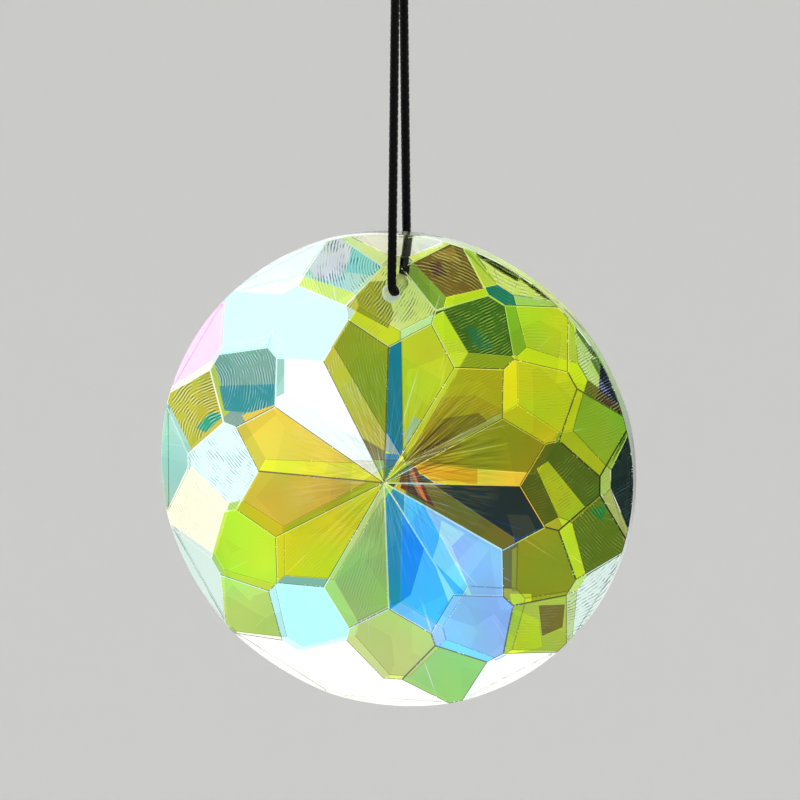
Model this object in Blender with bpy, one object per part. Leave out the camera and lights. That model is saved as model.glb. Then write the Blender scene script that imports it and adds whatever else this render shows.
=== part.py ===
"""Prism suncatcher: a round clear acrylic disc, cut in flat facets on both sides, hung on a cord.

The disc hangs upright with its faces looking along -Y and +Y. Each side rises from a thin girdle
to a low point in the middle, in four tiers of flat facets. A small bore near the rim takes the
cord, whose two strands rise to a knot. The origin is where a hook carries the loop, under the knot.
Units are metres and +Z is up.
"""

import math

import bmesh
import bpy
from mathutils import Matrix, Vector

# The disc
DISC_DIAMETER = 0.0760
DISC_THICKNESS = 0.0180  # from point to point, through the middle
GIRDLE_THICKNESS = 0.0024  # the uncut edge, at the middle of a rim facet
BLANK_SIDES = 144  # sides of the round blank
FACETS_PER_TIER = 12

# The cut, as shares of the disc's radius and of the first tier's slope
STAR_RING = 0.553  # side corners of the first tier
MIDDLE_RING = 0.732  # inner corners of the third tier
OUTER_RING = 0.871  # where the second tier meets the fourth
TIER_STEEPNESS = (1.0, 1.42, 1.95, 2.83)

# The bore that the cord goes through
BORE_DIAMETER = 0.0026
BORE_SETBACK = 0.0088  # from the rim to the bore's axis
BORE_SIDES = 32
BORE_OVERRUN = 0.002  # of the cutter, past each face

# The cord and how it hangs
CORD_DIAMETER = 0.0013
HANGING_DROP = 0.0840  # from the hanging point down to the disc's centre
DISC_ASIDE = 0.00035  # of the disc, to the left of the cord, which lies to the right in the bore
POINT_SPACING = 0.0029  # between the cord's own points, on a straight stretch
BEND_SPACING = 0.0008  # and round a bend
PIECE_GAP = 0.0003  # between pieces that touch

# Half of the cord's route, (away from the middle plane, up), measured from the hanging point
UPPER_ROUTE = (
    (0.00085, 0.00200),
    (0.00178, 0.00050),
    (0.00230, -0.00160),
    (0.00258, -0.00420),
    (0.00295, -0.01000),
    (0.00345, -0.02000),
    (0.00395, -0.03000),
)
# and the rest of it, (out, up) from the bore's top edge at the disc's face
LOWER_ROUTE = (
    (0.00080, 0.00950),
    (0.00112, 0.00450),
    (0.00134, 0.00095),
    (0.00104, -0.00020),
    (0.00020, -0.00104),
    (-0.00095, -0.00134),
)
BORE_DIP = 0.00137  # of the cord under the bore's top, in the middle of the disc

# The knot
KNOT_WIDTH = 0.0056
KNOT_DEPTH = 0.0042
KNOT_HEIGHT = 0.0052
TAIL_LENGTH = 0.0075  # of each cut end, from the knot's middle
TAIL_SPLAY = math.radians(16)  # of each cut end from upright


def clear_scene():
    for item in list(bpy.data.objects):
        bpy.data.objects.remove(item, do_unlink=True)


def make_material(name, colour, roughness, metallic=0.0, transmission=0.0, ior=1.5):
    material = bpy.data.materials.new(name)
    material.use_nodes = True
    shader = material.node_tree.nodes["Principled BSDF"]
    shader.inputs["Base Color"].default_value = (*colour, 1.0)
    shader.inputs["Roughness"].default_value = roughness
    shader.inputs["Metallic"].default_value = metallic
    shader.inputs["Transmission Weight"].default_value = transmission
    shader.inputs["IOR"].default_value = ior
    return material


def add_object(name, data, material, parent):
    item = bpy.data.objects.new(name, data)
    bpy.context.scene.collection.objects.link(item)
    data.materials.append(material)
    item.parent = parent
    return item


def mesh_from(bm, name):
    mesh = bpy.data.meshes.new(name)
    bm.to_mesh(mesh)
    bm.free()
    return mesh


def facet_tiers():
    """(slope, height over the middle plane where its planes meet the axis, turn) of each tier."""
    radius = DISC_DIAMETER / 2
    apex, edge = DISC_THICKNESS / 2, GIRDLE_THICKNESS / 2
    half_step = math.pi / FACETS_PER_TIER
    aside = math.cos(half_step)
    star, middle, outer = STAR_RING * radius, MIDDLE_RING * radius, OUTER_RING * radius
    one, two, three, four = TIER_STEEPNESS
    run = one * star * aside + two * (outer - star) + four * (radius - outer)
    unit = (apex - edge) / run
    slopes = [unit * steepness for steepness in (one, two, three, four)]
    second = apex - slopes[0] * star * aside + slopes[1] * star
    third = second - slopes[1] * middle * aside + slopes[2] * middle
    fourth = second - slopes[1] * outer + slopes[3] * outer
    return [
        (slopes[0], apex, half_step),
        (slopes[1], second, 0.0),
        (slopes[2], third, half_step),
        (slopes[3], fourth, 0.0),
    ]


def half_thickness(up):
    """From the middle plane to the face, on the upright line through the disc's centre."""
    step = 2 * math.pi / FACETS_PER_TIER
    heights = []
    for slope, height, turn in facet_tiers():
        nearest = abs((turn + step / 2) % step - step / 2)
        heights.append(height - slope * up * math.cos(nearest))
    return min(heights)


def cut_facet(bm, slope, height, angle, side):
    """Cuts the blank by one plane; side is -1 on the front face and +1 on the back."""
    outward = Vector((slope * math.cos(angle), side, slope * math.sin(angle)))
    cut = bmesh.ops.bisect_plane(
        bm,
        geom=bm.verts[:] + bm.edges[:] + bm.faces[:],
        dist=1e-7,
        plane_co=Vector((0.0, side * height, 0.0)),
        plane_no=outward.normalized(),
        clear_outer=True,
    )
    rim = [item for item in cut["geom_cut"] if isinstance(item, bmesh.types.BMEdge)]
    if rim:
        bmesh.ops.edgeloop_fill(bm, edges=rim)


def make_disc(material, parent):
    bm = bmesh.new()
    bmesh.ops.create_cone(
        bm,
        cap_ends=True,
        segments=BLANK_SIDES,
        radius1=DISC_DIAMETER / 2,
        radius2=DISC_DIAMETER / 2,
        depth=DISC_THICKNESS * 1.2,
        matrix=Matrix.Rotation(math.radians(90), 4, "X"),
    )
    # A facet of the second tier looks straight up, and the bore goes through it
    for side in (-1, 1):
        for slope, height, turn in facet_tiers():
            for index in range(FACETS_PER_TIER):
                angle = math.pi / 2 + turn + index * 2 * math.pi / FACETS_PER_TIER
                cut_facet(bm, slope, height, angle, side)
    bmesh.ops.remove_doubles(bm, verts=bm.verts[:], dist=1e-5)
    bmesh.ops.dissolve_degenerate(bm, edges=bm.edges[:], dist=1e-6)
    bmesh.ops.recalc_face_normals(bm, faces=bm.faces[:])
    disc = add_object("prism_disc", mesh_from(bm, "prism_disc"), material, parent)
    disc.location = (-DISC_ASIDE, 0.0, -HANGING_DROP)

    bm = bmesh.new()
    bmesh.ops.create_cone(
        bm,
        cap_ends=True,
        segments=BORE_SIDES,
        radius1=BORE_DIAMETER / 2,
        radius2=BORE_DIAMETER / 2,
        depth=DISC_THICKNESS + 2 * BORE_OVERRUN,
        matrix=Matrix.Rotation(math.radians(90), 4, "X"),
    )
    cutter = add_object("bore_cutter", mesh_from(bm, "bore_cutter"), material, parent)
    cutter.location = (-DISC_ASIDE, 0.0, bore_centre())
    cutter.hide_render = True
    cutter.display_type = "WIRE"
    bore = disc.modifiers.new("bore", "BOOLEAN")
    bore.operation = "DIFFERENCE"
    bore.solver = "EXACT"
    bore.object = cutter
    return disc


def bore_centre():
    """The height of the bore's axis."""
    return DISC_DIAMETER / 2 - BORE_SETBACK - HANGING_DROP


def cord_route():
    """The route's own points, from the knot down through the bore and back up to the knot."""
    top = bore_centre() + BORE_DIAMETER / 2
    mouth = half_thickness(top + HANGING_DROP)
    half = [Vector((0.0, -out, up)) for out, up in UPPER_ROUTE]
    half += [Vector((0.0, -mouth - out, top + up)) for out, up in LOWER_ROUTE]
    middle = Vector((0.0, 0.0, top - BORE_DIP))
    back = [Vector((p.x, -p.y, p.z)) for p in reversed(half)]
    return half + [middle] + back


def smooth_line(points):
    """Points read from one smooth curve through the route's points, closer together in bends."""
    line = [points[0]]
    last = len(points) - 1
    for index in range(last):
        before, start = points[max(index - 1, 0)], points[index]
        end, after = points[index + 1], points[min(index + 2, last)]
        length = (end - start).length
        leaving = (end - before).normalized() * length
        arriving = (after - start).normalized() * length
        turn = leaving.angle(arriving)
        count = max(1, round(length / POINT_SPACING), math.ceil(turn * length / BEND_SPACING))
        for step in range(1, count + 1):
            t = step / count
            line.append(
                start * (2 * t**3 - 3 * t**2 + 1)
                + leaving * (t**3 - 2 * t**2 + t)
                + end * (3 * t**2 - 2 * t**3)
                + arriving * (t**3 - t**2)
            )
    return line


def make_tube(name, line, diameter, material, parent):
    curve = bpy.data.curves.new(name, "CURVE")
    curve.dimensions = "3D"
    curve.bevel_depth = diameter / 2
    curve.bevel_resolution = 2
    curve.use_fill_caps = True
    spline = curve.splines.new("POLY")
    spline.points.add(len(line) - 1)
    for point, place in zip(spline.points, line):
        point.co = (*place, 1.0)
    return add_object(name, curve, material, parent)


def make_knot(material, parent):
    """The knot's outer form, with the two cut ends standing out of its top."""
    middle = UPPER_ROUTE[0][1] + PIECE_GAP + KNOT_HEIGHT / 2
    bm = bmesh.new()
    bmesh.ops.create_uvsphere(bm, u_segments=24, v_segments=14, radius=0.5)
    bmesh.ops.scale(bm, vec=(KNOT_WIDTH, KNOT_DEPTH, KNOT_HEIGHT), verts=bm.verts[:])
    knot = add_object("cord_knot", mesh_from(bm, "cord_knot"), material, parent)
    knot.location = (0.0, 0.0, middle)
    knot.data.shade_smooth()
    for side, name in ((-1, "left_tail"), (1, "right_tail")):
        bm = bmesh.new()
        bmesh.ops.create_cone(
            bm,
            cap_ends=True,
            segments=12,
            radius1=CORD_DIAMETER / 2,
            radius2=CORD_DIAMETER / 2,
            depth=TAIL_LENGTH,
            matrix=Matrix.Translation((0.0, 0.0, TAIL_LENGTH / 2)),
        )
        tail = add_object(name, mesh_from(bm, name), material, parent)
        tail.location = (side * CORD_DIAMETER / 2, 0.0, middle)
        tail.rotation_euler = (0.0, side * TAIL_SPLAY, 0.0)
        tail.hide_render = True
        tail.display_type = "WIRE"
        join = knot.modifiers.new(name, "BOOLEAN")
        join.operation = "UNION"
        join.solver = "EXACT"
        join.object = tail
    return knot


clear_scene()
frame = bpy.data.objects.new("suncatcher", None)
bpy.context.scene.collection.objects.link(frame)
acrylic = make_material("clear_acrylic", (0.86, 0.93, 0.78), 0.02, transmission=1.0, ior=1.49)
black_cord = make_material("black_cord", (0.014, 0.014, 0.016), 0.55)
make_disc(acrylic, frame)
make_tube("hanging_cord", smooth_line(cord_route()), CORD_DIAMETER, black_cord, frame)
make_knot(black_cord, frame)
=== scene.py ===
import math

import bmesh
import bpy
from mathutils import Matrix, Vector, noise


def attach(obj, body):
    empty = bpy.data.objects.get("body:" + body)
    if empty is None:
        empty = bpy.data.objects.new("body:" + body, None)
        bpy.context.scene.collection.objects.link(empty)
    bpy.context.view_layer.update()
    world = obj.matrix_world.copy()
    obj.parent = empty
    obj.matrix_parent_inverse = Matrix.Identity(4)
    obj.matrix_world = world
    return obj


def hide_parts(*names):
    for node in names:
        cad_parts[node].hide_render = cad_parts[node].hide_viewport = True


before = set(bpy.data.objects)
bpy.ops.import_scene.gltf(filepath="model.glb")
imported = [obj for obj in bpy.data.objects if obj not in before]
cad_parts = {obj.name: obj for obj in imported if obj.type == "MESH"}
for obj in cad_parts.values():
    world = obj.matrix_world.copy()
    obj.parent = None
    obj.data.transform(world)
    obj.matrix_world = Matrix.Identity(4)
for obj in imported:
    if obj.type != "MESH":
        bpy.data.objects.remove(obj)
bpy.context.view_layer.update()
scene = bpy.context.scene
scene.view_settings.view_transform = "Standard"

# The camera. It looks a little down at the disc from its right, through a long lens, and takes
# in the disc and the lower stretch of the cord.
HANGING_DROP = 0.0840  # from the hanging point down to the disc's centre
DISC_ASIDE = 0.00035  # of the disc, to the left of the cord
VIEW_AZIMUTH = math.radians(13.27)
VIEW_ELEVATION = math.radians(13.42)
VIEW_DISTANCE = 1.2
VIEW_WIDTH = 0.12541  # of the picture, at the disc
AIM_RIGHT, AIM_UP = 0.00042, 0.01093  # of the picture's middle, from the disc's centre
SENSOR_WIDTH = 36.0  # in mm

DISC_CENTRE = Vector((-DISC_ASIDE, 0.0, -HANGING_DROP))
towards_camera = Vector((
    math.sin(VIEW_AZIMUTH) * math.cos(VIEW_ELEVATION),
    -math.cos(VIEW_AZIMUTH) * math.cos(VIEW_ELEVATION),
    math.sin(VIEW_ELEVATION),
))
view_right = Vector((math.cos(VIEW_AZIMUTH), math.sin(VIEW_AZIMUTH), 0.0))
view_up = towards_camera.cross(view_right)
eye = DISC_CENTRE + towards_camera * VIEW_DISTANCE
aim = DISC_CENTRE + view_right * AIM_RIGHT + view_up * AIM_UP
lens = bpy.data.cameras.new("camera")
lens.sensor_width = SENSOR_WIDTH
lens.lens = SENSOR_WIDTH * VIEW_DISTANCE / VIEW_WIDTH
camera = bpy.data.objects.new("camera", lens)
scene.collection.objects.link(camera)
camera.location = eye
camera.rotation_mode = "QUATERNION"
camera.rotation_quaternion = (aim - eye).to_track_quat("-Z", "Y")
scene.camera = camera

# The cord. A thin black braided cord, waxed, goes through the bore, and its two strands rise
# beside each other to the knot, held straight by the disc's weight.
BORE_DIAMETER = 0.0026
BORE_SETBACK = 0.0088
DISC_DIAMETER = 0.0760
DISC_THICKNESS = 0.0180
GIRDLE_THICKNESS = 0.0024
FACETS_PER_TIER = 12
STAR_RING, MIDDLE_RING, OUTER_RING = 0.553, 0.732, 0.871
TIER_STEEPNESS = (1.0, 1.42, 1.95, 2.83)
CORD_DIAMETER = 0.0013
BORE_DIP = 0.00137
UPPER_ROUTE = (
    (0.00085, 0.00200), (0.00178, 0.00050), (0.00230, -0.00160), (0.00258, -0.00420),
    (0.00295, -0.01000), (0.00345, -0.02000), (0.00395, -0.03000),
)
LOWER_ROUTE = (
    (0.00080, 0.00950), (0.00112, 0.00450), (0.00134, 0.00095), (0.00104, -0.00020),
    (0.00020, -0.00104), (-0.00095, -0.00134),
)
BRAID_STRANDS = 4  # that turn each way round the cord
BRAID_PITCH = 0.0046  # of one strand's whole turn
BRAID_CROWN = 1.09  # a strand's highest point, as a share of the cord's radius
BRAID_RELIEF = 0.17  # of the radius, from a strand's crown to the groove beside it
STATION_SPACING = 0.00017
TUBE_SIDES = 20


def facet_tiers():
    """(slope, height over the middle plane where its planes meet the axis, turn) of each tier."""
    radius = DISC_DIAMETER / 2
    apex, edge = DISC_THICKNESS / 2, GIRDLE_THICKNESS / 2
    half_step = math.pi / FACETS_PER_TIER
    aside = math.cos(half_step)
    star, middle, outer = STAR_RING * radius, MIDDLE_RING * radius, OUTER_RING * radius
    one, two, _, four = TIER_STEEPNESS
    run = one * star * aside + two * (outer - star) + four * (radius - outer)
    unit = (apex - edge) / run
    slopes = [unit * steepness for steepness in TIER_STEEPNESS]
    second = apex - slopes[0] * star * aside + slopes[1] * star
    third = second - slopes[1] * middle * aside + slopes[2] * middle
    fourth = second - slopes[1] * outer + slopes[3] * outer
    return [
        (slopes[0], apex, half_step),
        (slopes[1], second, 0.0),
        (slopes[2], third, half_step),
        (slopes[3], fourth, 0.0),
    ]


def half_thickness(up):
    """From the middle plane to the face, on the upright line through the disc's centre."""
    step = 2 * math.pi / FACETS_PER_TIER
    return min(
        height - slope * up * math.cos(abs((turn + step / 2) % step - step / 2))
        for slope, height, turn in facet_tiers()
    )


def smooth_line(points, spacing):
    """Points read at an even spacing from one smooth curve through the route's points."""
    line = [points[0]]
    last = len(points) - 1
    for index in range(last):
        before, start = points[max(index - 1, 0)], points[index]
        end, after = points[index + 1], points[min(index + 2, last)]
        length = (end - start).length
        leaving = (end - before).normalized() * length
        arriving = (after - start).normalized() * length
        count = max(1, round(length / spacing))
        for step in range(1, count + 1):
            t = step / count
            line.append(
                start * (2 * t**3 - 3 * t**2 + 1)
                + leaving * (t**3 - 2 * t**2 + t)
                + end * (3 * t**2 - 2 * t**3)
                + arriving * (t**3 - t**2)
            )
    return line


def first_ring(bm, sides, diameter, place=Matrix.Identity(4)):
    """The vertices and edges of a tube's closed end."""
    ring = bmesh.ops.create_circle(
        bm, cap_ends=False, segments=sides, radius=diameter / 2, matrix=place
    )["verts"]
    edges = list(dict.fromkeys(edge for vert in ring for edge in vert.link_edges))
    bmesh.ops.contextual_create(bm, geom=edges)
    return ring, edges


def next_ring(bm, edges):
    """The vertices and edges of a ring grown from the last one's edges."""
    grown = bmesh.ops.extrude_edge_only(bm, edges=edges)["geom"]
    ring = [item for item in grown if isinstance(item, bmesh.types.BMVert)]
    edges = [
        item for item in grown
        if isinstance(item, bmesh.types.BMEdge) and item.verts[0] in ring and item.verts[1] in ring
    ]
    return ring, edges


def braided_tube(bm, line, diameter, first_side):
    """A closed tube along the line, with the crossing strands of its braid raised on it."""
    relief = bm.verts.layers.float.get("relief") or bm.verts.layers.float.new("relief")
    ring, edges = first_ring(bm, TUBE_SIDES, diameter)
    side = first_side.normalized()
    travelled = 0.0
    placed = Matrix.Identity(4)
    for index, point in enumerate(line):
        ahead = (line[min(index + 1, len(line) - 1)] - line[max(index - 1, 0)]).normalized()
        side = (side - ahead * side.dot(ahead)).normalized()
        across = ahead.cross(side)
        place = Matrix((side, across, ahead)).transposed().to_4x4()
        place.translation = point
        if index:
            ring, edges = next_ring(bm, edges)
            travelled += (point - line[index - 1]).length
        undo = placed.inverted()
        for vert in ring:
            flat = undo @ vert.co
            angle = math.atan2(flat.y, flat.x)
            turn = 2 * math.pi * travelled / BRAID_PITCH * BRAID_STRANDS
            one_way = math.cos(BRAID_STRANDS * angle + turn)
            other_way = math.cos(BRAID_STRANDS * angle - turn)
            crown = 0.5 + 0.5 * max(one_way, other_way)
            vert[relief] = crown
            radius = diameter / 2 * (BRAID_CROWN - BRAID_RELIEF * (1 - crown))
            vert.co = place @ Vector((math.cos(angle) * radius, math.sin(angle) * radius, 0.0))
        placed = place
    bmesh.ops.contextual_create(bm, geom=edges)


def mesh_piece(bm, name, *materials):
    mesh = bpy.data.meshes.new(name)
    bm.to_mesh(mesh)
    bm.free()
    for material in materials:
        mesh.materials.append(material)
    piece = bpy.data.objects.new(name, mesh)
    scene.collection.objects.link(piece)
    return piece


def new_material(name):
    material = bpy.data.materials.new(name)
    material.use_nodes = True
    tree = material.node_tree
    return material, tree, tree.nodes["Principled BSDF"]


def add_node(tree, kind, inputs=(), **settings):
    """A new node with its settings and inputs; an input is a plain value or another node's output."""
    node = tree.nodes.new(kind)
    for key, value in settings.items():
        setattr(node, key, value)
    for key, value in dict(inputs).items():
        if isinstance(value, bpy.types.NodeSocket):
            tree.links.new(value, node.inputs[key])
        else:
            node.inputs[key].default_value = value
    return node


def attribute(tree, name):
    return add_node(tree, "ShaderNodeAttribute", attribute_name=name).outputs["Fac"]


def noise_value(tree, place, scale, detail, roughness=0.5):
    return add_node(
        tree, "ShaderNodeTexNoise",
        {"Vector": place, "Scale": scale, "Detail": detail, "Roughness": roughness},
    ).outputs["Fac"]


def ramp(tree, value, start, end, at_start=0.0, at_end=1.0):
    """Goes evenly from at_start to at_end as the value goes from start to end, and is held there."""
    return add_node(
        tree, "ShaderNodeMapRange",
        {"Value": value, "From Min": start, "From Max": end, "To Min": at_start, "To Max": at_end},
    ).outputs["Result"]


def calculate(tree, operation, *values):
    return add_node(tree, "ShaderNodeMath", enumerate(values), operation=operation).outputs[0]


def blend(tree, share, first, second, **settings):
    """The first colour, with the second one mixed in by a share."""
    return add_node(
        tree, "ShaderNodeMix", {"Factor": share, "A": first, "B": second}, data_type="RGBA", **settings
    ).outputs["Result"]


# The cord's black: painted shade makes it darker in the grooves between strands than on the crowns
CORD_GROOVE_SHADE = (0.0008, 0.0008, 0.0010, 1.0)
CORD_CROWN = (0.0045, 0.0045, 0.0055, 1.0)
WORN_THREAD = (0.035, 0.036, 0.042, 1.0)

waxed_cord, tree, shader = new_material("waxed_cord")
shader.inputs["Specular IOR Level"].default_value = 0.08
place = add_node(tree, "ShaderNodeTexCoord").outputs["Object"]
crown = attribute(tree, "relief")
fibres = noise_value(tree, place, scale=5200.0, detail=3.0, roughness=0.6)
wax = noise_value(tree, place, scale=900.0, detail=2.0)
worn = ramp(tree, fibres, 0.60, 0.78, at_end=0.5)
worn_crowns = calculate(tree, "MULTIPLY", worn, crown)
# painted shade in the grooves, and lighter worn fibres on the crowns
thread = blend(tree, worn_crowns, blend(tree, crown, CORD_GROOVE_SHADE, CORD_CROWN), WORN_THREAD)
gloss = ramp(tree, wax, 0.35, 0.65, at_start=0.34, at_end=0.62)
fuzz = add_node(tree, "ShaderNodeBump", {"Height": fibres, "Strength": 0.5, "Distance": 0.00006})
tree.links.new(thread, shader.inputs["Base Color"])
tree.links.new(gloss, shader.inputs["Roughness"])
tree.links.new(fuzz.outputs["Normal"], shader.inputs["Normal"])

bore_height = DISC_DIAMETER / 2 - BORE_SETBACK + DISC_CENTRE.z
bore_top = bore_height + BORE_DIAMETER / 2
mouth = half_thickness(bore_top - DISC_CENTRE.z)
front_half = [Vector((0.0, -out, up)) for out, up in UPPER_ROUTE]
front_half += [Vector((0.0, -mouth - out, bore_top + up)) for out, up in LOWER_ROUTE]
back_half = [Vector((p.x, -p.y, p.z)) for p in reversed(front_half)]
route = front_half + [Vector((0.0, 0.0, bore_top - BORE_DIP))] + back_half
cord_line = smooth_line(route, STATION_SPACING)
bm = bmesh.new()
braided_tube(bm, cord_line, CORD_DIAMETER, Vector((1.0, 0.0, 0.0)))
for face in bm.faces:
    face.smooth = True
bmesh.ops.recalc_face_normals(bm, faces=bm.faces[:])
cord = mesh_piece(bm, "braided_cord", waxed_cord)
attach(cord, "root")
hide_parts("hanging_cord")

# The knot. The cord's two ends are bound together by turns of the cord itself, drawn tight, and
# stick out of the top as two short cut tails.
KNOT_MIDDLE = Vector((0.0, 0.0, 0.0049))
WRAP_TURNS = 3.2
WRAP_STEPS = 48
WRAP_START = -0.6 * math.pi
WRAP_HALF_WIDTH = 0.00212
WRAP_HALF_DEPTH = 0.00150
WRAP_RISE = 0.00135  # of one turn
WRAP_LEAN = 0.0002  # of each turn, up at the back
TUCK_FROM = 0.42  # of the wrap's length, either way from its middle, to where its ends turn in
TUCK_DEPTH = 0.75  # of the half width and depth, at the very ends
TAIL_LENGTH = 0.0075
TAIL_SPLAY = math.radians(16)

wraps = []
for step in range(WRAP_STEPS + 1):
    share = step / WRAP_STEPS
    angle = 2 * math.pi * WRAP_TURNS * share + WRAP_START
    tucked = 1 - TUCK_DEPTH * max(0.0, (abs(share - 0.5) - TUCK_FROM) / (0.5 - TUCK_FROM))
    wraps.append(KNOT_MIDDLE + Vector((
        WRAP_HALF_WIDTH * tucked * math.cos(angle),
        WRAP_HALF_DEPTH * tucked * math.sin(angle),
        WRAP_RISE * WRAP_TURNS * (share - 0.5) + WRAP_LEAN * math.sin(angle),
    )))
bm = bmesh.new()
braided_tube(bm, smooth_line(wraps, STATION_SPACING), CORD_DIAMETER, Vector((0.0, 0.0, 1.0)))
for side in (-1, 1):
    tail_top = KNOT_MIDDLE + Vector((
        side * (CORD_DIAMETER / 2 + TAIL_LENGTH * math.sin(TAIL_SPLAY)),
        0.0,
        TAIL_LENGTH * math.cos(TAIL_SPLAY),
    ))
    core = [
        Vector((0.0, side * 0.00085, 0.0020)),
        Vector((side * 0.0003, side * 0.0006, 0.0034)),
        KNOT_MIDDLE + Vector((side * 0.00062, side * 0.0001, 0.0002)),
        KNOT_MIDDLE + Vector((side * 0.00090, 0.0, 0.0024)),
        tail_top,
    ]
    braided_tube(bm, smooth_line(core, STATION_SPACING), CORD_DIAMETER, Vector((1.0, 0.0, 0.0)))
for face in bm.faces:
    face.smooth = True
bmesh.ops.recalc_face_normals(bm, faces=bm.faces[:])
knot = mesh_piece(bm, "tied_knot", waxed_cord)
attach(knot, "root")
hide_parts("cord_knot")

# The prism. One disc of clear cast acrylic, cut in four tiers of twelve flat facets on each side
# and polished. Each facet has a tint of its own, partly a thin iridescent coat and partly painted
# light: the bright and dark that the facet shows towards the camera are painted into its tint. The
# far side's tints and edges show through the near side, which also carries painted refraction of
# them and painted highlight and shade along its edges.
BLANK_SIDES = 144
BLANK_DEPTH = 1.2  # of the disc's thickness, before the facets are cut
FACET_TURN = 360 / FACETS_PER_TIER  # in degrees
ARRIS_WIDTH = 0.00013  # of the narrow flat along each side of an edge
ARRIS_FALL = 0.00003  # of the edge itself, where the two flats meet
WEAR_WIDTH = 0.00045  # of the strip beside an edge where the small chips are
ACRYLIC_IOR = 1.49
# The tints, as they are seen: the coat's colour with painted light and shade of the surroundings
TINTS = {
    "clear": (0.99, 1.00, 0.98),
    "frost": (0.92, 1.00, 1.00),
    "blush": (1.00, 0.86, 1.00),
    "ice": (0.87, 0.99, 0.99),
    "cream": (1.00, 1.00, 0.86),
    "aqua": (0.69, 0.99, 1.00),
    "pearl": (0.81, 0.89, 0.86),
    "primrose": (1.00, 1.00, 0.48),
    "lilac": (0.68, 0.74, 0.99),
    "mist": (0.70, 0.84, 0.80),
    "dove": (0.77, 0.81, 0.68),
    "azure": (0.50, 0.72, 0.91),
    "jade": (0.61, 0.80, 0.71),
    "lemon": (0.98, 0.95, 0.06),
    "sky": (0.25, 0.68, 1.00),
    "turquoise": (0.38, 0.86, 0.86),
    "sage": (0.55, 0.70, 0.58),
    "celery": (0.71, 0.79, 0.31),
    "willow": (0.63, 0.74, 0.37),
    "spring": (0.69, 0.85, 0.20),
    "lime": (0.75, 0.91, 0.03),
    "gold": (0.87, 0.64, 0.08),
    "fennel": (0.56, 0.70, 0.27),
    "citron": (0.70, 0.76, 0.06),
    "leaf": (0.63, 0.73, 0.15),
    "grass": (0.52, 0.67, 0.19),
    "honey": (0.72, 0.56, 0.08),
    "straw": (0.80, 0.70, 0.05),
    "cobalt": (0.03, 0.41, 0.89),
    "fern": (0.48, 0.64, 0.10),
    "clover": (0.37, 0.60, 0.20),
    "slate": (0.30, 0.44, 0.36),
    "olive": (0.52, 0.51, 0.04),
    "moss": (0.34, 0.47, 0.08),
    "umber": (0.29, 0.23, 0.07),
    "bracken": (0.33, 0.37, 0.03),
    "pine": (0.22, 0.28, 0.02),
    "forest": (0.11, 0.22, 0.03),
    "ink": (0.04, 0.11, 0.08),
    "midnight": (0.02, 0.06, 0.34),
    "dusk": (0.05, 0.10, 0.36),
    "teal": (0.05, 0.25, 0.40),
    "lagoon": (0.07, 0.34, 0.36),
    "foam": (0.72, 0.96, 0.85),
    "bronze": (0.50, 0.42, 0.05),
    "maroon": (0.22, 0.04, 0.01),
    "scarlet": (0.95, 0.22, 0.05),
    "marine": (0.01, 0.30, 1.00),
    "sienna": (0.50, 0.28, 0.16),
    "walnut": (0.27, 0.15, 0.07),
    "rust": (0.32, 0.21, 0.02),
    "navy": (0.02, 0.03, 0.16),
    "wine": (0.16, 0.05, 0.13),
    "rose": (1.00, 0.50, 0.90),
    "emerald": (0.03, 0.42, 0.30),
}
# One name a facet for each tier in turn, counter-clockwise from the right as seen from the front,
# and the last line for the girdle
FRONT_TINTS = (
    "olive olive citron olive clear gold honey straw fennel sky azure midnight",
    "pine citron forest primrose aqua slate ice spring aqua spring azure bronze",
    "fern citron walnut foam aqua olive cream spring clear clover leaf bracken",
    "ink grass leaf dove frost blush mist pearl clear clear clear pearl",
    "ink moss leaf pearl clear clear clear clear clear clear clear slate",
)
BACK_TINTS = (
    "olive citron celery fennel clear ice dove spring sage sky azure honey",
    "moss citron fern willow clear aqua ice spring aqua lilac azure grass",
    "fern leaf leaf jade clear cream cream mist clear ice willow moss",
    "ink willow celery clear frost blush mist pearl clear clear clear pearl",
)
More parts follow.
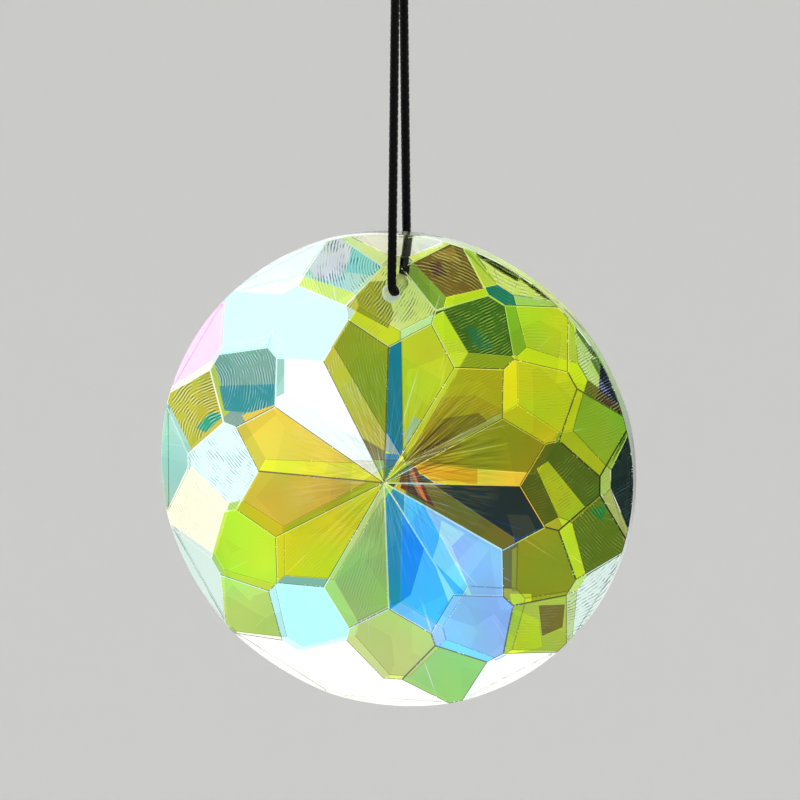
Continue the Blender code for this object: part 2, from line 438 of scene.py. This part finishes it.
# Painted refraction: where a far facet shows through a near one towards the camera, the near
# facet is painted there with the tint seen through it: the near facet as tier:direction, then each
# far facet with the tint over it
PAINTED_REFRACTION_TINTS = {
    "0:015": "0:315 ink, 0:345 primrose",
    "0:045": "0:225 slate, 0:015 lilac, 0:075 citron",
    "0:075": "0:105 marine, 0:135 slate",
    "0:105": "0:165 umber, 0:195 clover",
    "0:135": "1:150 sage",
    "0:165": "0:195 lemon, 1:180 honey",
    "0:195": "0:225 olive",
    "0:225": "1:240 slate",
    "0:255": "0:225 lilac, 1:240 grass",
    "0:285": "0:255 cobalt",
    "0:315": "0:255 cobalt, 0:285 sky",
    "0:345": "0:255 gold, 0:285 rust, 0:315 rust",
    "1:000": "0:345 forest, 1:330 honey",
    "1:030": "0:015 lemon, 0:045 lemon",
    "1:060": "0:045 moss, 0:075 lime",
    "1:090": "0:105 lemon, 0:075 aqua, 1:120 sage",
    "1:120": "1:150 clear",
    "1:150": "0:165 gold, 1:180 slate, 2:165 fern",
    "1:180": "1:210 lilac, 2:195 cream",
    "1:210": "2:195 leaf, 2:225 citron, 3:210 grass",
    "1:270": "1:240 celery, 2:255 fennel",
    "1:300": "0:285 blush, 2:285 sky",
    "1:330": "0:315 umber, 1:300 honey, 2:315 olive",
    "2:015": "1:000 lemon, 1:030 citron",
    "2:045": "1:030 lime, 1:060 fern",
    "2:075": "1:090 moss, 1:060 lemon",
    "2:105": "1:090 aqua, 1:120 spring",
    "2:135": "1:150 clear, 3:150 blush",
    "2:165": "1:180 honey, 3:180 jade",
    "2:195": "3:210 pearl",
    "2:225": "3:210 spring, 3:240 cream",
    "2:285": "1:270 spring",
    "2:315": "1:300 citron, 3:300 fern",
    "2:345": "1:330 lemon, 1:000 gold",
    "3:000": "1:000 clear, 2:345 blush, 2:015 grass",
    "3:030": "1:030 lime, 2:015 umber, 2:045 leaf",
    "3:060": "1:060 marine, 2:045 sage, 2:075 celery",
    "3:090": "2:105 primrose, 2:075 cream",
    "3:120": "2:105 clear",
    "3:150": "2:165 clear",
    "3:180": "2:195 cream",
    "3:330": "1:330 clear, 2:345 fern",
}
# Small shapes of tint in a near facet, partly the coat's colour and partly painted refraction and
# reflection of what shows there towards the camera: the facet, the tint, and the corners across and
# up from the disc's centre, in mm
COAT_AND_REFRACTION_SHAPES = (
    ("0:315", "foam", (8.8, -5.9), (12.4, -7.9), (10.3, -10.1), (8.2, -9.6)),
    ("0:315", "foam", (8.2, -9.6), (10.3, -10.1), (13.6, -19.1), (7.2, -12.5)),
    ("0:285", "cream", (7.2, -12.0), (10.0, -20.7), (13.6, -18.9)),
    ("0:285", "cream", (10.0, -20.7), (7.7, -24.5), (8.1, -25.9), (13.8, -18.6)),
    ("0:285", "cobalt", (1.6, -2.2), (0.0, -21.3), (3.6, -18.5), (6.1, -10.3)),
    ("0:345", "maroon", (2.9, 0.6), (5.7, 0.7), (7.8, -3.8), (2.5, -0.8)),
    ("0:345", "scarlet", (4.1, 0.6), (5.2, 0.7), (6.7, -2.9), (5.3, -1.8)),
    ("0:345", "dusk", (19.0, -4.7), (22.3, -4.8), (23.8, -7.9), (20.2, -9.3)),
    ("0:015", "gold", (4.1, 3.8), (14.4, 2.4), (14.4, -0.1), (4.1, 1.7)),
    ("0:015", "maroon", (3.0, 3.5), (5.0, 2.4), (6.6, -0.8), (2.2, -0.8)),
    ("0:015", "scarlet", (3.6, 2.9), (4.5, 2.2), (5.7, -0.8), (4.3, -0.8)),
    ("0:045", "bronze", (3.1, 3.1), (8.7, 13.5), (13.8, 14.1), (18.6, 11.7)),
    ("0:045", "umber", (3.1, 3.1), (8.6, 10.2), (14.5, 11.3), (15.8, 10.1)),
    ("0:045", "lemon", (0.2, 0.1), (0.6, 4.2), (2.8, 4.4), (3.3, 3.0)),
    ("0:075", "teal", (0.2, 0.1), (-0.1, 4.6), (2.8, 4.4), (3.3, 3.0)),
    ("0:075", "azure", (3.3, 4.1), (3.0, 7.8), (4.3, 10.5), (7.1, 9.1)),
    ("0:105", "teal", (0.2, 0.1), (-0.3, 4.3), (0.9, 5.0), (2.8, 4.1)),
    ("1:000", "lemon", (23.5, 2.7), (25.2, 3.9), (31.9, -4.7), (29.6, -7.2), (27.9, -7.5)),
    ("1:060", "teal", (11.7, 24.8), (14.1, 24.1), (16.4, 21.8), (15.5, 20.7), (13.3, 21.7)),
    ("1:090", "olive", (-7.3, 27.0), (-4.1, 30.7), (-1.0, 31.0), (0.5, 26.2), (-0.2, 23.8)),
    ("1:150", "lagoon", (-27.8, 12.9), (-16.9, 14.2), (-16.9, 11.3), (-22.4, 9.2), (-26.8, 9.1)),
    ("1:330", "bronze", (19.7, -10.4), (22.7, -8.7), (22.2, -17.3), (19.5, -17.3)),
    ("1:330", "lemon", (19.2, -17.7), (22.5, -17.7), (22.5, -19.1), (19.8, -21.3)),
    ("2:075", "sienna", (5.9, 35.1), (9.3, 36.6), (10.8, 34.0), (6.9, 34.7)),
    ("2:075", "wine", (5.6, 33.8), (7.2, 34.2), (8.7, 32.2), (6.7, 31.9)),
    ("2:105", "blush", (-9.8, 38.2), (-13.8, 33.5), (-12.8, 31.0), (-9.6, 30.4), (-6.9, 33.5),
     (-6.5, 37.2)),
    ("2:105", "turquoise", (-6.5, 37.2), (-0.7, 33.9), (-3.2, 31.7), (-7.4, 32.0)),
    ("2:165", "emerald", (-31.7, 5.8), (-29.2, 8.6), (-26.7, 8.5), (-30.0, 5.3)),
    ("2:315", "umber", (23.6, -19.6), (27.6, -19.4), (27.1, -23.3), (23.9, -24.8)),
    ("2:315", "lime", (19.9, -20.3), (23.5, -22.0), (23.8, -26.7), (17.5, -28.4)),
    ("2:345", "rose", (34.8, -1.1), (36.2, -2.1), (37.6, -9.3), (36.7, -9.3)),
    ("2:345", "emerald", (31.4, -4.0), (34.3, -3.0), (33.4, -5.8)),
    ("3:030", "dove", (29.7, 25.4), (31.3, 24.1), (33.8, 19.8), (32.7, 19.8), (30.3, 21.9)),
    ("3:030", "navy", (32.7, 19.8), (34.0, 19.3), (35.8, 15.9), (37.3, 11.4), (32.6, 15.2)),
    ("3:030", "wine", (32.6, 15.2), (37.3, 11.4), (37.4, 10.4), (32.2, 13.5)),
)
# The fine lines that polishing left on some near facets: their strength from 0 to 1, and the point
# they curve round, across and up from the disc's centre in mm
POLISHING_LINES = {
    "0:045": (0.15, 30, -12), "0:105": (0.20, 24, 25), "0:225": (0.12, 8, -34), "0:255": (0.20, -33, -7),
    "1:000": (0.30, 15, 17), "1:030": (0.18, 23, 44), "1:060": (0.80, 1.5, 51), "1:090": (0.90, -25, 43),
    "1:150": (0.60, -31, 13), "1:180": (0.75, -7, 21),
    "2:015": (0.15, 25, 28), "2:045": (0.18, 23, 3), "2:075": (0.60, 0.5, 9.9), "2:105": (1.00, -0.8, 33.4),
    "2:165": (0.85, -26, 3.5), "2:195": (0.35, -6, 5), "2:315": (0.15, 23, 10), "2:345": (0.40, 52, 9),
    "3:000": (0.70, 25, 16), "3:030": (0.90, 20, 34), "3:060": (0.45, 26, 49), "3:330": (0.85, 20, -2),
}
LINES_OVER_FAR_FACET = 0.25  # the lines' strength there, as a share
MM = 0.001
TINT_NAMES = list(TINTS)
WHITE_TINTS = ("clear", "frost", "ice", "pearl", "blush", "cream", "aqua")  # with little drift


def facet_code(side, tier, direction):
    """One whole number for each facet, even on the far side; directions are in whole degrees."""
    return 1 + (tier * 360 + round(direction) % 360) * 2 + (side > 0)


bm = bmesh.new()
facet_of = bm.faces.layers.int.new("facet")
tint_of = bm.faces.layers.int.new("tint_number")
is_arris = bm.faces.layers.int.new("is_arris")
shows_through = bm.faces.layers.int.new("shows_through")
line_strength = bm.faces.layers.float.new("line_strength")
coat = bm.faces.layers.float.new("coat")
near_edge = bm.verts.layers.float.new("near_edge")
bmesh.ops.create_cone(
    bm, cap_ends=True, segments=BLANK_SIDES,
    radius1=DISC_DIAMETER / 2, radius2=DISC_DIAMETER / 2, depth=DISC_THICKNESS * BLANK_DEPTH,
    matrix=Matrix.Rotation(math.radians(90), 4, "X"),
)
for side, tints in ((-1, FRONT_TINTS), (1, BACK_TINTS)):
    for tier, (slope, height, turn) in enumerate(facet_tiers()):
        names = tints[tier].split()
        for index in range(FACETS_PER_TIER):
            angle = math.pi / 2 + turn + index * 2 * math.pi / FACETS_PER_TIER
            outward = Vector((slope * math.cos(angle), side, slope * math.sin(angle)))
            cut = bmesh.ops.bisect_plane(
                bm, geom=bm.verts[:] + bm.edges[:] + bm.faces[:], dist=1e-7,
                plane_co=Vector((0.0, side * height, 0.0)), plane_no=outward.normalized(),
                clear_outer=True,
            )
            rim = [item for item in cut["geom_cut"] if isinstance(item, bmesh.types.BMEdge)]
            if rim:
                direction = math.degrees(angle) % 360
                for face in bmesh.ops.edgeloop_fill(bm, edges=rim)["faces"]:
                    face[facet_of] = facet_code(side, tier, direction)
                    face[tint_of] = TINT_NAMES.index(names[int(direction / FACET_TURN + 0.01)])
bmesh.ops.remove_doubles(bm, verts=bm.verts[:], dist=1e-5)
bmesh.ops.dissolve_degenerate(bm, edges=bm.edges[:], dist=1e-6)
bmesh.ops.recalc_face_normals(bm, faces=bm.faces[:])

planes = {face[facet_of]: (face.normal.copy(), face.calc_center_median()) for face in bm.faces}
outlines = {face[facet_of]: [vert.co.copy() for vert in face.verts] for face in bm.faces}

# Each edge gets two narrow flats, and beside them a strip for the chips
facets = [face for face in bm.faces if face[facet_of]]
corners = {vert for face in facets for vert in face.verts}
arris = bmesh.ops.inset_individual(bm, faces=facets, thickness=ARRIS_WIDTH, use_even_offset=True)["faces"]
for vert in {vert for face in facets for vert in face.verts}:
    vert[near_edge] = 1.0
bmesh.ops.inset_individual(bm, faces=facets, thickness=WEAR_WIDTH, use_even_offset=True)
for vert in {vert for face in facets for vert in face.verts}:
    vert[near_edge] = 0.0
bm.normal_update()
for vert in corners:
    vert[near_edge] = 1.0
    vert.co -= vert.normal * ARRIS_FALL
for face in arris:
    face[is_arris] = 1


def named_code(name, side):
    tier, direction = name.split(":")
    return facet_code(side, int(tier), int(direction))


def shown_outline(near, far):
    """The far facet's corners as they show in the near facet, to someone where the camera is."""
    normal, middle = planes[near]
    looking = (middle - towards_camera * VIEW_DISTANCE).normalized()
    fall = -looking.dot(normal)
    bent = math.sqrt(1 - (1 - fall * fall) / ACRYLIC_IOR**2)
    inside = looking / ACRYLIC_IOR + normal * (fall / ACRYLIC_IOR - bent)
    shown = []
    for corner in outlines[far]:
        at = corner + inside * ((middle - corner).dot(normal) / inside.dot(normal))
        shown.append((at.x, at.z))
    return shown


def tint_within(code, outline, tint, from_behind):
    """Cuts a facet along an outline's sides and gives the part inside it a tint."""
    centre = [sum(values) / len(outline) for values in zip(*outline)]
    sides = []
    for (x1, z1), (x2, z2) in zip(outline, outline[1:] + outline[:1]):
        inward = Vector((z1 - z2, 0.0, x2 - x1)).normalized()
        if (centre[0] - x1) * inward.x + (centre[1] - z1) * inward.z < 0:
            inward.negate()
        sides.append((inward, Vector((x1, 0.0, z1))))
    for inward, place in sides:
        whole = [face for face in bm.faces if face[facet_of] == code and not face[is_arris]]
        parts = [part for face in whole for part in (*face.edges, *face.verts)]
        bmesh.ops.bisect_plane(
            bm, geom=whole + list(dict.fromkeys(parts)), dist=1e-7, plane_co=place, plane_no=inward
        )
    for face in bm.faces:
        if face[facet_of] == code and not face[is_arris]:
            middle = face.calc_center_median()
            if all((middle - place).dot(inward) > 0 for inward, place in sides):
                face[tint_of] = TINT_NAMES.index(tint)
                face[shows_through] = from_behind


# painted refraction, cut along each far facet's outline as it shows from the camera
for near, seen in PAINTED_REFRACTION_TINTS.items():
    for pair in seen.split(", "):
        far, tint = pair.split()
        code = named_code(near, -1)
        tint_within(code, shown_outline(code, named_code(far, 1)), tint, 1)
# painted refraction and reflection, partly the coat's colour, in small drawn shapes
for near, tint, *corners_mm in COAT_AND_REFRACTION_SHAPES:
    tint_within(named_code(near, -1), [(x * MM, z * MM) for x, z in corners_mm], tint, 0)

# The tints, and a flat map of each facet in metres, with its upright away from the axis
WHITE_COAT = 0.12  # the drift of hue in a white facet, as a share of the others'
FACET_MIDDLE = 0.3  # of the disc's diameter, from its centre, to tell an edge's two painted flats apart
# the painted highlight on a near edge's flat on its facet's upper left side
LIT_EDGE = (0.95, 1.0, 0.84)
DIM_SHADE, DIM_WHITE_SHADE = 0.42, 0.96  # painted shade of near dark flats, and of a white facet's
FAR_LIT_FADE, FAR_DIM_SHADE = 0.6, 0.7  # painted light and shade of far flats, in their own tints
SEEN_GAMMA = 2.2  # from a tint as it is seen to its light
FACET_MAP_STEP, FACET_MAP_TURNS = 0.013, 17  # so that neighbours don't share their scratches
tint_layer = bm.loops.layers.float_color.new("tint")
facet_map = bm.loops.layers.uv.new("facet_map")
line_map = bm.loops.layers.uv.new("line_map")
lines_of = {named_code(name, -1): values for name, values in POLISHING_LINES.items()}
girdle_tints = FRONT_TINTS[4].split()
for face in bm.faces:
    middle = face.calc_center_median()
    normal = face.normal.copy()
    code = face[facet_of]
    tint_name = TINT_NAMES[face[tint_of]]
    red, green, blue = TINTS[tint_name]
    if not code:
        # the girdle's tint goes over slowly from one facet's to the next
        around = math.degrees(math.atan2(middle.z, middle.x)) / FACET_TURN % FACETS_PER_TIER
        tint_name = girdle_tints[int(around)]
        next_name = girdle_tints[(int(around) + 1) % FACETS_PER_TIER]
        red, green, blue = Vector(TINTS[tint_name]).lerp(Vector(TINTS[next_name]), around % 1)
    direction = math.radians(((code - 1) // 2) % 360)
    outwards = Vector((math.cos(direction), 0.0, math.sin(direction)))
    upright = (outwards - normal * outwards.dot(normal)).normalized()
    across = normal.cross(upright)
    white = tint_name in WHITE_TINTS
    shade = 1.0
    face[coat] = WHITE_COAT if white else 1.0
    if face[is_arris]:
        # painted highlight and painted shade: of the two flats at an edge, the one on its facet's upper
        # left side is painted light and the other painted dark
        spoke = Vector((middle.x, 0.0, middle.z)) - outwards * (DISC_DIAMETER * FACET_MIDDLE)
        painted_lit = spoke.z - spoke.x > 0.0
        far_side = code % 2 == 0
        if far_side:
            fade = FAR_LIT_FADE if painted_lit else 1.0
            shade = 1.0 if painted_lit or white else FAR_DIM_SHADE
            red, green, blue = red**fade, green**fade, blue**fade
        elif painted_lit and not white:
            red, green, blue = LIT_EDGE
        elif not painted_lit:
            grey = (red + green + blue) / 3
            shade = DIM_WHITE_SHADE if white else DIM_SHADE
            red, green, blue = (red + grey) / 2, (green + grey) / 2, (blue + grey) / 2
    strength, line_x, line_z = lines_of.get(code, (0.0, 0.0, 0.0))
    if face[shows_through]:
        strength *= LINES_OVER_FAR_FACET
    face[line_strength] = 0.0 if face[is_arris] else strength
    light = [(channel * shade) ** SEEN_GAMMA for channel in (red, green, blue)]
    map_start = FACET_MAP_STEP * (code % FACET_MAP_TURNS)
    for loop in face.loops:
        corner = loop.vert.co
        loop[tint_layer] = (*light, 1.0)
        loop[facet_map].uv = (corner.dot(across) + map_start, corner.dot(upright))
        loop[line_map].uv = (corner.x - line_x * MM, corner.z - line_z * MM)
    face.smooth = not code
for edge in bm.edges:
    if any(face[facet_of] for face in edge.link_faces):
        edge.smooth = False
bmesh.ops.translate(bm, verts=bm.verts[:], vec=DISC_CENTRE)


def toned(tree, colour, gamma):
    return add_node(tree, "ShaderNodeGamma", {"Color": colour, "Gamma": gamma}).outputs["Color"]


EDGE_OF_REFLECTIONS = (0.42, 0.46, 0.55, 1.0)
WHITE = (1.0, 1.0, 1.0, 1.0)
DRIFT_LOW, DRIFT_HIGH = (0.42, 0.62, 0.30), (1.42, 1.26, 1.65)
# the painted shade and painted highlight of the polishing lines
LINE_SHADOW = (0.03, 0.06, 0.13, 1.0)
LINE_LIGHT = (0.95, 1.0, 1.0, 1.0)
RINGS_SCALE = 690.0  # for lines 0.455 mm apart
STREAK_BEARING = 0.47  # of the middle of the strongest streaks, up from the right
STREAK_DARK = (0.02, 0.022, 0.008, 1.0)
MARK_WHITE = (0.95, 1.0, 0.96, 1.0)

cut_acrylic, tree, shader = new_material("cut_acrylic")
shader.inputs["Transmission Weight"].default_value = 1.0
shader.inputs["IOR"].default_value = ACRYLIC_IOR
shader.inputs["Metallic"].default_value = 0.0
shader.inputs["Specular Tint"].default_value = EDGE_OF_REFLECTIONS
place = add_node(tree, "ShaderNodeTexCoord").outputs["Object"]
on_facet = add_node(tree, "ShaderNodeUVMap", uv_map="facet_map").outputs["UV"]
on_lines = add_node(tree, "ShaderNodeUVMap", uv_map="line_map").outputs["UV"]
tint = add_node(tree, "ShaderNodeAttribute", attribute_name="tint").outputs["Color"]

# the coat's slow drift in hue over the disc, and its patches
drift = add_node(
    tree, "ShaderNodeTexNoise", {"Vector": place, "Scale": 70.0, "Detail": 1.0, "Distortion": 0.5}
).outputs["Color"]
hue_drift = add_node(
    tree, "ShaderNodeMix", {"Factor": drift, "A": DRIFT_LOW, "B": DRIFT_HIGH},
    data_type="VECTOR", factor_mode="NON_UNIFORM",
).outputs["Result"]
cells = add_node(
    tree, "ShaderNodeTexVoronoi", {"Vector": place, "Scale": 105.0, "Randomness": 0.9}
).outputs["Color"]
cell_value = add_node(tree, "ShaderNodeSeparateColor", {"Color": cells}).outputs["Red"]
patch_gain = ramp(tree, cell_value, 0.0, 1.0, at_start=0.84, at_end=1.14)
shift = add_node(
    tree, "ShaderNodeVectorMath", {0: hue_drift, 1: patch_gain}, operation="MULTIPLY"
).outputs["Vector"]
shifted = blend(tree, attribute(tree, "coat"), WHITE, shift)
drifted = blend(tree, 1.0, tint, shifted, blend_type="MULTIPLY", clamp_result=True)

# fine polishing lines, curving and broken, raised a little in the bump; dark and light in turn as
# painted shade and painted highlight
lines = add_node(
    tree, "ShaderNodeTexWave",
    {"Vector": on_lines, "Scale": RINGS_SCALE, "Distortion": 7.0, "Detail": 2.5, "Detail Scale": 0.38},
    wave_type="RINGS", rings_direction="SPHERICAL", wave_profile="SIN",
).outputs["Fac"]
patch = noise_value(tree, on_facet, scale=260.0, detail=1.0)
patches = ramp(tree, patch, 0.35, 0.53, at_start=0.06)
breaks = noise_value(tree, place, scale=700.0, detail=3.0)
unbroken = ramp(tree, breaks, 0.41, 0.55, at_start=0.10)
patchy = calculate(tree, "MULTIPLY", patches, unbroken)
line_share = calculate(tree, "MULTIPLY", patchy, attribute(tree, "line_strength"))
dark_share = calculate(tree, "MULTIPLY", ramp(tree, lines, 0.50, 0.22), line_share)
light_share = calculate(tree, "MULTIPLY", ramp(tree, lines, 0.68, 0.92), line_share)
painted_line_shade = blend(tree, 1.0, toned(tree, drifted, 0.8), LINE_SHADOW, blend_type="MULTIPLY")
painted_line_highlight = blend(tree, 0.1, toned(tree, drifted, 0.35), LINE_LIGHT)
combed = blend(tree, light_share, blend(tree, dark_share, drifted, painted_line_shade), painted_line_highlight)

# streaks that run out from the point in the middle, darker and lighter in colour, strongest up
# and to the right
from_origin = add_node(tree, "ShaderNodeSeparateXYZ", {"Vector": place}).outputs
rise = calculate(tree, "SUBTRACT", from_origin["Z"], DISC_CENTRE.z)
aside = calculate(tree, "SUBTRACT", from_origin["X"], DISC_CENTRE.x)
bearing = calculate(tree, "ARCTAN2", rise, aside)
aside_squared = calculate(tree, "MULTIPLY", aside, aside)
rise_squared = calculate(tree, "MULTIPLY", rise, rise)
reach = calculate(tree, "SQRT", calculate(tree, "ADD", aside_squared, rise_squared))
spokes = add_node(tree, "ShaderNodeCombineXYZ", {"X": bearing, "Y": reach}).outputs["Vector"]
spread = add_node(
    tree, "ShaderNodeMapping", {"Vector": spokes, "Scale": (24.0, 90.0, 1.0)}
).outputs["Vector"]
streak = noise_value(tree, spread, scale=1.0, detail=2.0)
near_point = ramp(tree, reach, 0.005, 0.018, at_start=1.0, at_end=0.0)
turned = calculate(tree, "SUBTRACT", bearing, STREAK_BEARING)
on_right = ramp(tree, calculate(tree, "COSINE", turned), 0.80, 0.95, at_start=0.25)
streak_share = calculate(tree, "MULTIPLY", near_point, on_right)
dark_part = calculate(tree, "MULTIPLY", ramp(tree, streak, 0.475, 0.415), streak_share)
light_part = calculate(tree, "MULTIPLY", ramp(tree, streak, 0.54, 0.60), streak_share)
darker_streaks = blend(tree, dark_part, combed, STREAK_DARK)
streaked = blend(tree, light_part, darker_streaks, toned(tree, combed, 0.4))

# long hairline scratches, and chips along the edges
stretched = add_node(
    tree, "ShaderNodeMapping",
    {"Vector": on_facet, "Rotation": (0.0, 0.0, 0.12), "Scale": (1500.0, 45.0, 1.0)},
).outputs["Vector"]
hair = noise_value(tree, stretched, scale=1.0, detail=1.0)
scratches = ramp(tree, hair, 0.71, 0.77, at_end=0.42)
crumbs = add_node(
    tree, "ShaderNodeTexVoronoi", {"Vector": place, "Scale": 2600.0, "Randomness": 1.0}
).outputs["Distance"]
off_girdle = calculate(tree, "MINIMUM", attribute(tree, "facet"), 1.0)
by_edge = calculate(tree, "MULTIPLY", attribute(tree, "near_edge"), off_girdle)
worn_places = noise_value(tree, place, scale=230.0, detail=2.0)
chip_room = calculate(tree, "MULTIPLY", by_edge, worn_places)
chips = ramp(tree, calculate(tree, "SUBTRACT", chip_room, crumbs), 0.30, 0.38)
marks = calculate(tree, "MAXIMUM", scratches, chips)
marked = blend(tree, marks, streaked, MARK_WHITE)
roughness = ramp(tree, marks, 0.0, 1.0, at_start=0.012, at_end=0.3)
height = calculate(tree, "MULTIPLY", lines, line_share)
worn_height = calculate(tree, "SUBTRACT", height, marks)
ground = add_node(tree, "ShaderNodeBump", {"Height": worn_height, "Strength": 0.12, "Distance": 0.000012})
tree.links.new(marked, shader.inputs["Base Color"])
tree.links.new(roughness, shader.inputs["Roughness"])
tree.links.new(ground.outputs["Normal"], shader.inputs["Normal"])

BORE_GREY = (0.92, 0.93, 0.90, 1.0)

frosted_bore, tree, shader = new_material("frosted_bore")
shader.inputs["IOR"].default_value = ACRYLIC_IOR
shader.inputs["Transmission Weight"].default_value = 0.85
shader.inputs["Roughness"].default_value = 0.4
place = add_node(tree, "ShaderNodeTexCoord").outputs["Object"]
grit = noise_value(tree, place, scale=3400.0, detail=4.0, roughness=0.7)
rough_grit = add_node(tree, "ShaderNodeBump", {"Height": grit, "Strength": 0.7, "Distance": 0.00012})
tree.links.new(blend(tree, grit, BORE_GREY, WHITE), shader.inputs["Base Color"])
tree.links.new(rough_grit.outputs["Normal"], shader.inputs["Normal"])

prism = mesh_piece(bm, "acrylic_prism", cut_acrylic, frosted_bore)

# The bore, drilled from face to face, with a frosted wall and small chips broken out of its mouths
BORE_SIDES = 56
SMALLEST_CHIP, CHIP_SPREAD = 0.00008, 0.0003
CHIP_DEPTH = 1.2  # as a share of its width
DRILL_OVERRUN = 0.002  # past each face

chip_sizes = []
for index in range(BORE_SIDES):
    unevenness = noise.noise(Vector((index * 0.55, 3.1, 0.0))) + 0.25
    chip_sizes.append(SMALLEST_CHIP + CHIP_SPREAD * max(0.0, unevenness))
bm = bmesh.new()
ring, edges = first_ring(bm, BORE_SIDES, BORE_DIAMETER, Matrix.Rotation(math.radians(90), 4, "X"))
stations = (  # the side, how far past the face, and whether the mouth is chipped there
    (-1, DRILL_OVERRUN, True), (-1, 0.0, True), (-1, 0.0, False),
    (1, 0.0, False), (1, 0.0, True), (1, DRILL_OVERRUN, True),
)
for number, (side, beyond, chipped) in enumerate(stations):
    if number:
        ring, edges = next_ring(bm, edges)
    for vert in ring:
        angle = math.atan2(vert.co.z, vert.co.x)  # the first ring is made round the origin
        if number:
            angle = math.atan2(vert.co.z - bore_height, vert.co.x - DISC_CENTRE.x)
        chip = chip_sizes[round(angle / (2 * math.pi) * BORE_SIDES) % BORE_SIDES]
        radius = BORE_DIAMETER / 2 + (chip if chipped else 0.0)
        up = bore_height + radius * math.sin(angle)
        out = half_thickness(up - DISC_CENTRE.z) + (beyond if chipped else -CHIP_DEPTH * chip)
        vert.co = Vector((DISC_CENTRE.x + radius * math.cos(angle), side * out, up))
bmesh.ops.contextual_create(bm, geom=edges)
bmesh.ops.recalc_face_normals(bm, faces=bm.faces[:])
for face in bm.faces:
    face.smooth = True
drill = mesh_piece(bm, "drill", frosted_bore)
bore = prism.modifiers.new("bore", "BOOLEAN")
bore.operation = "DIFFERENCE"
bore.solver = "EXACT"
bore.material_mode = "TRANSFER"
bore.object = drill
bpy.context.view_layer.update()
drilled = bpy.data.meshes.new_from_object(prism.evaluated_get(bpy.context.evaluated_depsgraph_get()))
prism.modifiers.clear()
prism.data = drilled
bpy.data.objects.remove(drill, do_unlink=True)
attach(prism, "root")
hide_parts("prism_disc")

# The studio. A pale floor runs up into a pale wall all round, lit from above. A light tent that
# only glass and polish see hangs round the piece.
FLOOR_HEIGHT = -1.7
COVE_RADIUS = 3.2
COVE_BEND = 1.2
WALL_TOP = 2.9
COVE_STEPS, COVE_TURNS = 12, 96
TENT_RADIUS = 0.7
TENT_MIDDLE = (0.0, 0.0, -0.07)
FRONT_GLOW, BACK_GLOW = 0.52, 1.17
GLOW_CHANGE = 0.25  # from the piece forwards and backwards, over which the one goes into the other

bm = bmesh.new()
profile = [(0.0, FLOOR_HEIGHT), (COVE_RADIUS - COVE_BEND, FLOOR_HEIGHT)]
for step in range(1, COVE_STEPS + 1):
    angle = math.pi / 2 * step / COVE_STEPS
    profile.append((
        COVE_RADIUS - COVE_BEND + COVE_BEND * math.sin(angle),
        FLOOR_HEIGHT + COVE_BEND - COVE_BEND * math.cos(angle),
    ))
profile.append((COVE_RADIUS, WALL_TOP))
chain = [bm.verts.new((out, 0.0, up)) for out, up in profile]
links = [bm.edges.new(pair) for pair in zip(chain, chain[1:])]
bmesh.ops.spin(
    bm, geom=chain + links, cent=(0.0, 0.0, 0.0), axis=(0.0, 0.0, 1.0),
    angle=2 * math.pi, steps=COVE_TURNS, use_merge=True,
)
bmesh.ops.remove_doubles(bm, verts=bm.verts[:], dist=1e-5)
bmesh.ops.recalc_face_normals(bm, faces=bm.faces[:])
for face in bm.faces:
    face.smooth = True
studio_pale, tree, shader = new_material("studio_pale")
shader.inputs["Base Color"].default_value = (0.80, 0.80, 0.79, 1.0)
shader.inputs["Roughness"].default_value = 0.9
cove = mesh_piece(bm, "studio_cove", studio_pale)

bm = bmesh.new()
bmesh.ops.create_uvsphere(bm, u_segments=48, v_segments=24, radius=TENT_RADIUS)
bmesh.ops.translate(bm, verts=bm.verts[:], vec=TENT_MIDDLE)
for face in bm.faces:
    face.smooth = True
tent_light = bpy.data.materials.new("tent_light")
tent_light.use_nodes = True
tree = tent_light.node_tree
tree.nodes.clear()
place = add_node(tree, "ShaderNodeTexCoord").outputs["Object"]
depth = add_node(tree, "ShaderNodeSeparateXYZ", {"Vector": place}).outputs["Y"]
strength = ramp(
    tree, depth, -GLOW_CHANGE, GLOW_CHANGE, at_start=FRONT_GLOW, at_end=BACK_GLOW
)
glow = add_node(tree, "ShaderNodeEmission", {"Color": (1.0, 1.0, 0.995, 1.0), "Strength": strength})
add_node(tree, "ShaderNodeOutputMaterial", {"Surface": glow.outputs["Emission"]})
tent = mesh_piece(bm, "light_tent", tent_light)
tent.visible_camera = False
tent.visible_shadow = False

world = bpy.data.worlds.new("studio")
world.use_nodes = True
world.node_tree.nodes["Background"].inputs["Color"].default_value = (1.0, 1.0, 1.0, 1.0)
world.node_tree.nodes["Background"].inputs["Strength"].default_value = 0.5
scene.world = world
for name, place, size, power in (
    ("overhead_light", (0.0, 0.0, 2.6), 3.0, 42.0),
    ("side_light", (-1.6, -1.4, 1.6), 1.0, 6.0),
):
    lamp = bpy.data.lights.new(name, "AREA")
    lamp.size = size
    lamp.energy = power
    light = bpy.data.objects.new(name, lamp)
    scene.collection.objects.link(light)
    light.location = place
    light.rotation_mode = "QUATERNION"
    light.rotation_quaternion = (DISC_CENTRE - Vector(place)).to_track_quat("-Z", "Y")
    light.visible_camera = False
